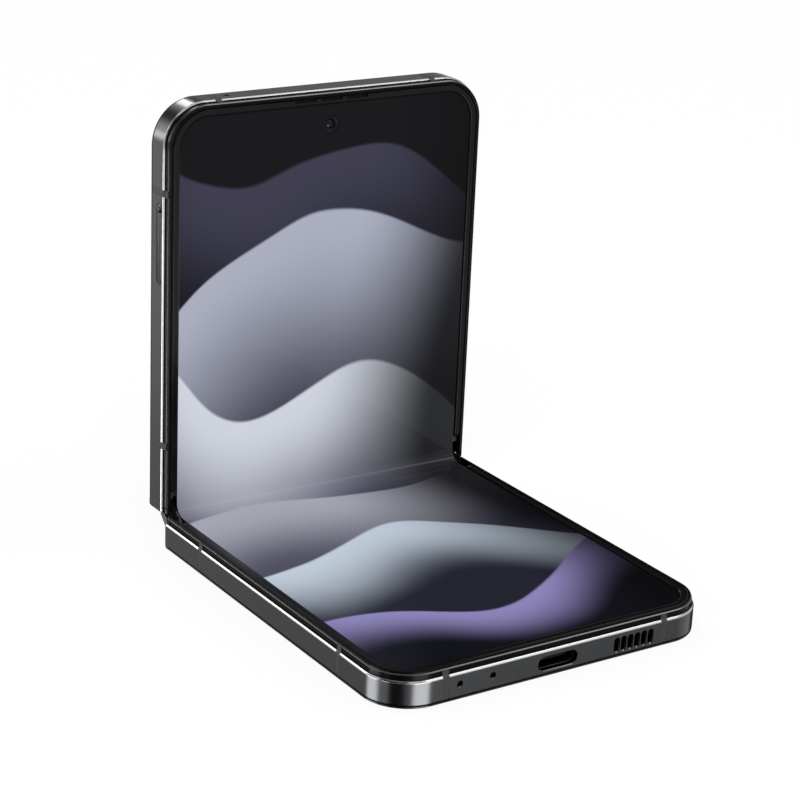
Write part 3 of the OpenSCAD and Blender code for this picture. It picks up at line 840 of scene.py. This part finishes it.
tree, take = start_tree("contact_row", {"Count": 12, "Pitch": 0.5, "Length": 3.4, "Width": 0.26,
                                        "Thickness": 0.04, "Gap": 0.76})
strip = output(tree, "CurvePrimitiveQuadrilateral", {"Width": take["Width"], "Height": take["Length"]})
strip = output(tree, "FilletCurve", {"Curve": strip, "Radius": 0.1, "Count": 3}, mode="POLY")
under = output(tree, "FillCurve", {0: strip})
raised = output(tree, "ExtrudeMesh", {"Mesh": under, "Offset Scale": take["Thickness"], "Individual": False})
strip = joined(tree, raised, under)
rows = []
for side in (-1, 1):
    start = output(tree, "CombineXYZ", {0: maths(tree, "MULTIPLY", take["Pitch"], -5.5),
                                        2: maths(tree, "MULTIPLY", take["Gap"], 0.5 * side)})
    step = output(tree, "CombineXYZ", {0: take["Pitch"]})
    line = output(tree, "MeshLine", {"Count": take["Count"], "Start Location": start, "Offset": step})
    rows.append(repeated(tree, line, strip))
contacts = grown("usb_contacts", end_tree(tree, joined(tree, *rows), gilt), {"Gap": 0.74},
                 lambda x, s, v: lower_spot(x, 78.5 + s, 2.58 + v))
fit(contacts, "lower_half", "port_steel")


# --- Speaker and earpiece meshes ---
# Fine black steel cloth glued behind the slots, woven of straight wires.
mesh_steel = grained("mesh_steel", (0.05, 0.05, 0.052), 0.42, 1.0)
tree, take = start_tree("wire_cloth", {"Columns": 30, "Rows": 8, "Pitch": 0.3, "Wire": 0.06})
ring = output(tree, "CurvePrimitiveCircle", {"Resolution": 6, "Radius": take["Wire"]}, mode="RADIUS")
wide = maths(tree, "MULTIPLY", maths(tree, "SUBTRACT", take["Columns"], 1.0), take["Pitch"])
tall = maths(tree, "MULTIPLY", maths(tree, "SUBTRACT", take["Rows"], 1.0), take["Pitch"])
layers = []
for count, along, lift in (("Rows", 0, 0.0), ("Columns", 1, 0.1)):
    run = output(tree, "CombineXYZ", {along: (wide, tall)[along]})
    step = output(tree, "CombineXYZ", {1 - along: take["Pitch"]})
    wire = output(tree, "CurvePrimitiveLine", {"End": run})
    wire = output(tree, "CurveToMesh", {"Curve": wire, "Profile Curve": ring, "Fill Caps": True})
    start = output(tree, "CombineXYZ", {2: lift})
    line = output(tree, "MeshLine", {"Count": take[count], "Start Location": start, "Offset": step})
    layers.append(repeated(tree, line, wire))
end_tree(tree, joined(tree, *layers), mesh_steel)
speaker = grown("speaker_cloth", tree, {"Columns": 36, "Rows": 10, "Pitch": 0.28, "Wire": 0.06},
                lambda x, s, v: lower_spot(12.45 + x, 81.05 + v, 1.45 + s))
fit(speaker, "lower_half", "mesh_steel", "speaker_mesh")
earpiece = grown("earpiece_cloth", tree, {"Columns": 66, "Rows": 3, "Pitch": 0.28, "Wire": 0.05},
                 lambda x, s, v: upper_spot(-9.2 + x, 80.5 + s, 6.2 + v))
fit(earpiece, "upper_half", "mesh_steel", "earpiece_mesh")


# --- Card tray ---
# A stamped tray with a milled metal face. It slides out of the left side when a
# pin is pushed into the hole, which sits in a small dished recess.
PIN_S = 61.6
tray_face = grained("tray_face", GRAPHITE, 0.24, 1.0, change=0.1)
tray_metal = grained("tray_metal", (0.36, 0.36, 0.37), 0.38, 1.0)
bm = bmesh.new()
side_slot(bm, TRAY_S, TRAY_V, 15.8, 2.15,
          [(-35.95, -0.08), (-35.92, -0.03), (-35.86, 0), (-34.86, 0)], upper_spot)
tool = bmesh.new()
loft(tool, [[(x, PIN_S + a, TRAY_V + b) for a, b in stadium(2 * r, 2 * r, 0.0, 16)]
            for x, r in ((-36.1, 0.82), (-35.9, 0.7), (-35.86, 0.62), (-35.8, 0.5), (-34.5, 0.5))], upper_spot)
tray = cut(piece("card_tray", bm, tray_face, tray_metal), tool)
bm = bmesh.new()
sheet = rounded([(-34.9, 48.6, 0.2, 1), (-21.8, 48.6, 0.9, 1), (-21.8, 61.3, 0.9, 1), (-34.9, 61.3, 0.2, 1)])[0]
loft(bm, [[(x, s, v) for x, s in shrunk(sheet, by)]
          for by, v in ((0.05, 3.25), (0, 3.3), (0, 4.0), (0.05, 4.05))], upper_spot, 1)
deck = piece("tray_deck", bm, tray_face, tray_metal)
for face in deck.data.polygons:
    face.material_index = 1
tool = bmesh.new()
window = rounded([(-32.2, 49.2, 0.3, 0), (-24.2, 49.2, 0.1, 0), (-22.9, 50.5, 0.1, 0), (-22.9, 60.6, 0.3, 0),
                  (-32.2, 60.6, 0.3, 0)])[0]
loft(tool, [[(x, s, v) for x, s in window] for v in (3.45, 5)], upper_spot)
side_slot(tool, PIN_S, TRAY_V, 1.0, 1.0, [(-36, 0), (-33.2, 0)], upper_spot)
cut(deck, tool)
bm = bmesh.new()
bm.from_mesh(tray.data)
bm.from_mesh(deck.data)
bm.to_mesh(tray.data)
bm.free()
bpy.data.objects.remove(deck)
fit(smooth(tray), "sim_tray", "frame_metal", "sim_tray")


# --- Side keys ---
# Milled keys with soft edges in the right side: a raised volume bar, and a power
# key set almost level, whose face reads a finger.
key_metal = grained("key_metal", GRAPHITE, 0.26, 1.0, change=0.1)
for name, s, length, out, body in KEYS:
    bm = bmesh.new()
    face = WIDE + out
    side_slot(bm, s, KEY_V, length, 2.5,
              [(34.2, 0.4), (34.75, 0.4), (34.76, 0), (face - 0.18, 0), (face - 0.07, -0.04),
               (face - 0.02, -0.12), (face, -0.24), (face, -0.3)], upper_spot)
    fit(piece(name, bm, key_metal), body, "frame_metal", body)


# --- Front camera ---
# A small black camera whose barrel fills the hole in the display: a matt collar,
# a stepped cone and a coated lens.
barrel_black = grained("barrel_black", (0.004, 0.004, 0.0045), 0.4, scale=6000.0, Specular_IOR_Level=0.08)
coated = grained("coated_lens", (0.006, 0.006, 0.012), 0.04, tint=0.1, change=0.02, Coat_Weight=0.6,
                 Coat_Roughness=0.02, Coat_Tint=(0.55, 0.6, 1.0, 1))


def turned(name, x, s, levels, place, *materials, sides=64):
    bm = bmesh.new()
    disc(bm, x, s, levels, place, sides)
    return piece(name, bm, *materials)


bm = bmesh.new()
block(bm, -3, 3, 72.6, 78.6, 3.6, 4.85, upper_spot)
disc(bm, 0, SELFIE_S,
     [(1.94, 4.9), (1.94, 6.4), (1.9, 6.44), (1.3, 6.44), (1.26, 6.42), (1.05, 6.25), (1.0, 6.25),
      (0.86, 6.1), (0.86, 5.9)], upper_spot)
fit(piece("front_camera_barrel", bm, barrel_black), "upper_half", "camera_body", "front_camera")
dim_lens = grained("dim_lens", (0.004, 0.004, 0.009), 0.08, tint=0.1, change=0.02, Specular_IOR_Level=0.12)
lens = turned("front_lens", 0, SELFIE_S,
              [(0.8, 5.9), (0.84, 6.08), (0.7, 6.17), (0.5, 6.23), (0.25, 6.265), (0.05, 6.272)],
              upper_spot, dim_lens)
fit(lens, "upper_half", "lens_glass")


# --- Rear cameras and flash ---
# Two cameras under clear discs, each in a turned metal ring that stands proud of
# the back glass, and a flash with a ribbed lens.
ring_metal = grained("ring_metal", (0.10, 0.10, 0.105), 0.2, 1.0, change=0.06)
clear, tree, shader = finish_of("camera_glass", (1, 1, 1), 0.0, Transmission_Weight=1.0, IOR=1.5)
fill(shader, {"Roughness": maths(tree, "MULTIPLY", noise(tree, on_object(tree), 300.0, 2.0), 0.02)})
rings, glasses, bodies, lenses = (bmesh.new() for _ in range(4))
turn = [2 * math.pi * k / 96 for k in range(96)]
profile = [(6.3, 0.0), (6.3, -0.82), (6.24, -0.98), (6.12, -1.07), (5.95, -1.1), (5.4, -1.1), (5.28, -1.07),
           (5.18, -0.98), (5.18, 0.42), (5.5, 0.42), (5.5, 0.0)]
for x in CAMERA_XS:
    loft(rings, [[(x + r * math.cos(a), CAMERA_S + r * math.sin(a), v) for r, v in profile] for a in turn],
         upper_spot, loop=True)
    disc(glasses, x, CAMERA_S, [(5.0, -0.4), (5.12, -0.46), (5.12, -0.88), (5.04, -0.95)], upper_spot, 96)
    disc(bodies, x, CAMERA_S,
         [(5.1, 3.5), (5.1, 0.3), (5.0, 0.2), (3.9, 0.2), (3.85, 0.24), (3.3, 0.7), (3.25, 0.7),
          (2.9, 1.1), (2.85, 1.1), (2.7, 1.3), (2.7, 1.6)], upper_spot, 72)
    block(bodies, x - 5.4, x + 5.4, CAMERA_S - 5.4, CAMERA_S + 5.4, 3.52, 5.0, upper_spot)
    dome = [(2.65, 1.6), (2.6, 1.2)] + [(2.6 * math.cos(a), 1.2 - 0.75 * math.sin(a))
                                        for a in (math.radians(d) for d in (12, 25, 38, 50, 62, 74, 85))]
    disc(lenses, x, CAMERA_S, dome, upper_spot, 64)
fit(piece("rear_camera_rings", rings, ring_metal), "upper_half", "frame_metal", "camera_rings")
fit(piece("rear_camera_covers", glasses, clear), "upper_half", "lens_glass", "camera_glasses")
fit(piece("rear_camera_barrels", bodies, barrel_black), "upper_half", "camera_body", "rear_cameras")
fit(piece("rear_lenses", lenses, coated), "upper_half", "lens_glass")
flash_lens = grained("flash_lens", (0.86, 0.82, 0.62), 0.22, Transmission_Weight=0.35)
levels = [(1.35, 1.4), (1.45, 1.3), (1.45, 0.12), (1.38, 0.03), (1.3, 0.0)]
for r in (1.15, 0.95, 0.75, 0.55, 0.35):
    levels += [(r + 0.02, 0.0), (r, 0.1), (r - 0.08, 0.02)]
flash = turned("flash_window", FLASH_X, FLASH_S, levels + [(0.05, 0.0)], upper_spot, flash_lens)
fit(flash, "upper_half", "flash_lens", "camera_flash")


# --- Hinge spine ---
# A drawn metal cover closes the hinge from behind. Its walls are notched for the
# arms, and moulded caps close its open ends beside the display.
spine_metal = grained("spine_metal", (0.22, 0.222, 0.227), 0.2, 1.0, change=0.08)
bm = bmesh.new()
section = rounded([(5.5, -0.9, 0.3, 0), (5.5, -3.65, 1.6, 0), (-5.5, -3.65, 1.6, 0), (-5.5, -0.9, 0.3, 0)])[0]
ends = [(34.5, 0.25), (34.47, 0.14), (34.38, 0.05), (34.25, 0)]
bar(bm, section, [(-x, by) for x, by in ends] + ends[::-1], spine_spot)
tool = bmesh.new()
hollow = rounded([(4.7, 1.0, 0, 0), (4.7, -2.85, 0.9, 0), (-4.7, -2.85, 0.9, 0), (-4.7, 1.0, 0, 0)])[0]
bar(tool, hollow, [(-32.9, 0), (32.9, 0)], spine_spot)
shell = cut(piece("spine_shell", bm, spine_metal), tool)
tool = bmesh.new()
for x, way in ((-24, -1), (24, -1), (-17, 1), (17, 1)):
    block(tool, x - 2.8, x + 2.8, min(4 * way, 6 * way), max(4 * way, 6 * way), -2.4, 0.5, spine_spot)
for k in (-1, 1):
    block(tool, k * 32.8, k * 36, -4.72, 4.72, -1.35, 0.5, spine_spot)
fit(cut(shell, tool), "hinge_spine", "spine_metal", "spine_cover")

cap_black = grained("cap_black", (0.008, 0.008, 0.0085), 0.6, scale=5000.0, Specular_IOR_Level=0.0)
bm = bmesh.new()
floor = rounded([(-4.6, -1.0, 0.05, 0), (4.6, -1.0, 0.05, 0), (4.6, -1.5, 0, 0), (-4.6, -1.5, 0, 0)])[0]
rib = rounded([(-1.5, -1.02, 0, 0), (-0.95, -0.52, 0.06, 0), (-0.6, -0.5, 0.06, 0), (-0.9, -1.02, 0, 0)])[0]
ear = rounded([(-0.5, -0.2, 0.15, 0), (0.5, -0.2, 0.15, 0), (0.85, -0.5, 0.1, 0), (0.85, -1.4, 0.1, 0),
               (1.5, -1.65, 0.1, 0), (1.6, -2.1, 0.1, 0), (-1.6, -2.1, 0.1, 0), (-1.5, -1.65, 0.1, 0),
               (-0.85, -1.4, 0.1, 0), (-0.85, -0.5, 0.1, 0)])[0][::-1]
for k in (-1, 1):
    bar(bm, floor, [(k * 33.15, 0), (k * 34.45, 0)], spine_spot)
    for way in (-1, 1):
        bar(bm, [(way * p, t) for p, t in rib], [(k * 33.2, 0), (k * 34.4, 0)], spine_spot)
    bar(bm, ear, [(k * x, by) for x, by in ((34.42, 0), (34.9, 0), (34.94, 0.015), (34.96, 0.04))], spine_spot)
fit(piece("hinge_end_covers", bm, cap_black), "hinge_spine", "black_plastic", "hinge_end_caps")
boss_metal = grained("boss_metal", (0.16, 0.162, 0.166), 0.3, 1.0, change=0.08)
bm = bmesh.new()
half = [(0.2, -1.42, 0.08), (0.6, -1.6, 0.1), (1.2, -1.85, 0.1), (1.7, -2.3, 0.1), (1.75, -3.2, 0.12)]
boss = rounded([(-p, t, r, 1) for p, t, r in half[::-1]] + [(*corner, 1) for corner in half])[0][::-1]
for k in (-1, 1):
    bar(bm, boss, [(k * x, by) for x, by in ((34.4, 0), (35.24, 0), (35.31, 0.025), (35.34, 0.07))], spine_spot, 1)
fit(piece("hinge_end_bosses", bm, boss_metal, cap_black), "hinge_spine", "spine_metal")

# The two hinge flexes leave the spine's floor and end on the halves. Each is two
# films of polyimide, one towards each half, left fixed where they are built.
flex_film = grained("hinge_flex_film", (0.35, 0.16, 0.03), 0.3, tint=0.3)
FLEX_PATH = [(6.48, 3.04), (5.19, 0.72), (3.9, -1.6), (3.1, -2.4), (0.0, -2.4)]
line = []
for (p0, t0), (p1, t1) in zip(FLEX_PATH, FLEX_PATH[1:]):
    line += [(p0 + (p1 - p0) * k / 6, t0 + (t1 - t0) * k / 6) for k in range(6)]
line.append(FLEX_PATH[-1])
for name, way, a, b in (("flex_films_lower", -1, "lower_half", "hinge_spine"),
                        ("flex_films_upper", 1, "hinge_spine", "upper_half")):
    bm = bmesh.new()
    for x in (-31.4, 29.4):
        rings = []
        for p, t in line:
            lean = way * (p - (0.12 if p > 3.5 else 0))
            rings.append([(x, way * p, t), (x + 2, way * p, t), (x + 2, lean, t + 0.12), (x, lean, t + 0.12)])
        loft(bm, rings, spine_spot)
    film = piece(name, bm, flex_film)
    ends = [spine_spot(0, way * 5.0, 0.4), spine_spot(0, way * 1.5, -2.4)]
    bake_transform(film)
    if way < 0:
        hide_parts("hinge_flex")


# --- Screws ---
# Small screws with a six-sided drive hold each middle plate and its hinge arms.
screw_steel = grained("screw_steel", (0.45, 0.45, 0.46), 0.3, 1.0)
tree, take = start_tree("screw_set", {"Head radius": 0.95, "Head height": 0.4, "Shank radius": 0.5,
                                      "Shank length": 0.6, "Drive radius": 0.42})


def rod(tree, sides, radius, length):
    return output(tree, "MeshCylinder", {"Vertices": sides, "Radius": radius, "Depth": length})


head = rod(tree, 32, take["Head radius"], take["Head height"])
drive = rod(tree, 6, take["Drive radius"], 0.5)
sunk = output(tree, "SetPosition", {"Geometry": drive, "Offset": (0, 0, -0.2)})
head = output(tree, "MeshBoolean", {0: head, 1: sunk}, operation="DIFFERENCE")
shank = rod(tree, 20, take["Shank radius"], take["Shank length"])
shank = output(tree, "SetPosition", {"Geometry": shank, "Offset": (0, 0, 0.45)})
end_tree(tree, repeated(tree, take["Geometry"], joined(tree, head, shank)), screw_steel)
SCREW_SPOTS = {"lower": [(-31, 10), (31, 10), (-31, 58.5), (31, 58.5), (-29.5, 78), (29.5, 78)],
               "upper": [(-31, 46), (31, 45), (-29.5, 65), (-12, 78), (31.2, 62.5), (29.5, 79.3)]}
for side, place in HALVES:
    made = grown(side + "_screw_set", tree, {}, place, [(x, s, 4.84) for x, s in SCREW_SPOTS[side]])
    fit(made, side + "_half", "screw_steel", side + "_screws")


# --- Charging coil ---
# Flat litz winding behind the lower back glass, wound as one spiral.
copper = grained("coil_copper", (0.72, 0.33, 0.16), 0.35, 1.0, tint=0.2)
tree, take = start_tree("flat_winding", {"Turns": 12.0, "Inner radius": 11.3, "Outer radius": 20.2,
                                         "Wire radius": 0.16})
path = output(tree, "CurveSpiral", {"Resolution": 48, "Rotations": take["Turns"], "Height": 0.0,
                                    "Start Radius": take["Inner radius"], "End Radius": take["Outer radius"]})
wire = output(tree, "CurvePrimitiveCircle", {"Resolution": 8, "Radius": take["Wire radius"]}, mode="RADIUS")
wound = output(tree, "CurveToMesh", {"Curve": path, "Profile Curve": wire, "Fill Caps": True})
coil = grown("charging_winding", end_tree(tree, wound, copper), {},
             lambda x, s, v: lower_spot(x, 34 + s, 0.79 + v))
fit(coil, "lower_half", "coil_copper", "charging_coil")


# --- Inside parts ---
# The plain solids inside keep their shape and get the finish of the real part:
# cast plates, rolled steel, boards, cells, cans and films.
brushed, take, give = effect("rolled_lines", {"Across": 4000.0, "Along": 60.0, "Change": 0.2})
spot = on_object(brushed)
stretch = output(brushed, "CombineXYZ", {0: take["Along"], 1: take["Across"], 2: take["Across"]})
stretched = output(brushed, "VectorMath", {0: spot, 1: stretch}, operation="MULTIPLY")
lines = noise(brushed, stretched, 1.0, 2.0)
vary(brushed, take, give, lines, take["Change"], take["Change"], lines)


def rolled(name, base, rough, metallic=1.0):
    """A finish with the fine lines of rolled sheet."""
    made, tree, shader = finish_of(name, base, rough, metallic)
    wear(tree, shader, brushed, {"Color": (*base, 1), "Roughness": rough}, 0.15, 0.00001)
    return made


board_green, tree, shader = finish_of("board_laminate", (0.01, 0.05, 0.03), 0.4)
tracks = node(tree, "TexBrick", {
    "Vector": on_object(tree), "Color1": (0.008, 0.045, 0.028, 1), "Color2": (0.012, 0.07, 0.042, 1),
    "Mortar": (0.30, 0.17, 0.06, 1), "Scale": 260.0, "Mortar Size": 0.03})
fill(shader, {"Base Color": tracks.outputs["Color"]})

cell_wrap, tree, shader = finish_of("battery_wrap", (0.02, 0.02, 0.022), 0.4)
crease = noise(tree, on_object(tree), 160.0, 4.0)
tone = output(tree, "MixRGB", {0: crease, 1: (0.014, 0.014, 0.016, 1), 2: (0.034, 0.034, 0.037, 1)})
relief = output(tree, "Bump", {"Height": crease, "Strength": 0.3, "Distance": 0.0001})
fill(shader, {"Base Color": tone, "Normal": relief})

film_amber, tree, shader = finish_of("flex_film", (0.35, 0.16, 0.03), 0.3)
spot = node(tree, "SeparateXYZ", {0: on_object(tree)}).outputs
ribs = maths(tree, "GREATER_THAN", maths(tree, "FRACT", maths(tree, "MULTIPLY", spot[0], 5000.0)), 0.5)
tone = output(tree, "MixRGB", {0: ribs, 1: (0.30, 0.13, 0.025, 1), 2: (0.55, 0.30, 0.10, 1)})
fill(shader, {"Base Color": tone})

for material, names in (
        (grained("cast_metal", (0.30, 0.30, 0.305), 0.48, 1.0, bump=0.3, scale=2500.0),
         "lower_mid_plate upper_mid_plate"),
        (rolled("rolled_steel", (0.46, 0.46, 0.47), 0.32), "lower_display_plate upper_display_plate"),
        (rolled("blackened_steel", (0.012, 0.012, 0.013), 0.4, 0.0), "lower_wing_plate upper_wing_plate"),
        (rolled("hinge_steel", (0.34, 0.34, 0.35), 0.3),
         "lower_hinge_arms upper_hinge_arms hinge_brackets gear_holders gear_shaft_a gear_shaft_b"),
        (rolled("spring_steel", (0.30, 0.30, 0.31), 0.25), "torque_springs"),
        (rolled("tin_can", (0.52, 0.52, 0.50), 0.34), "haptic_motor shield_cans sim_socket"),
        (grained("mic_can", (0.62, 0.46, 0.22), 0.35, 1.0), "bottom_microphones top_microphone"),
        (grained("moulded_black", (0.012, 0.012, 0.013), 0.45, scale=4000.0), "loudspeaker earpiece"),
        (board_green, "usb_board main_board"),
        (cell_wrap, "main_battery upper_battery"),
        (film_amber, "side_switches"),
        (grained("cover_panel", (0.004, 0.004, 0.005), 0.12), "cover_display"),
        (grained("card_plastic", (0.72, 0.72, 0.70), 0.45, scale=3000.0), "nano_sim_card")):
    for name in names.split():
        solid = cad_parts[name]
        solid.data.materials.clear()
        solid.data.materials.append(material)
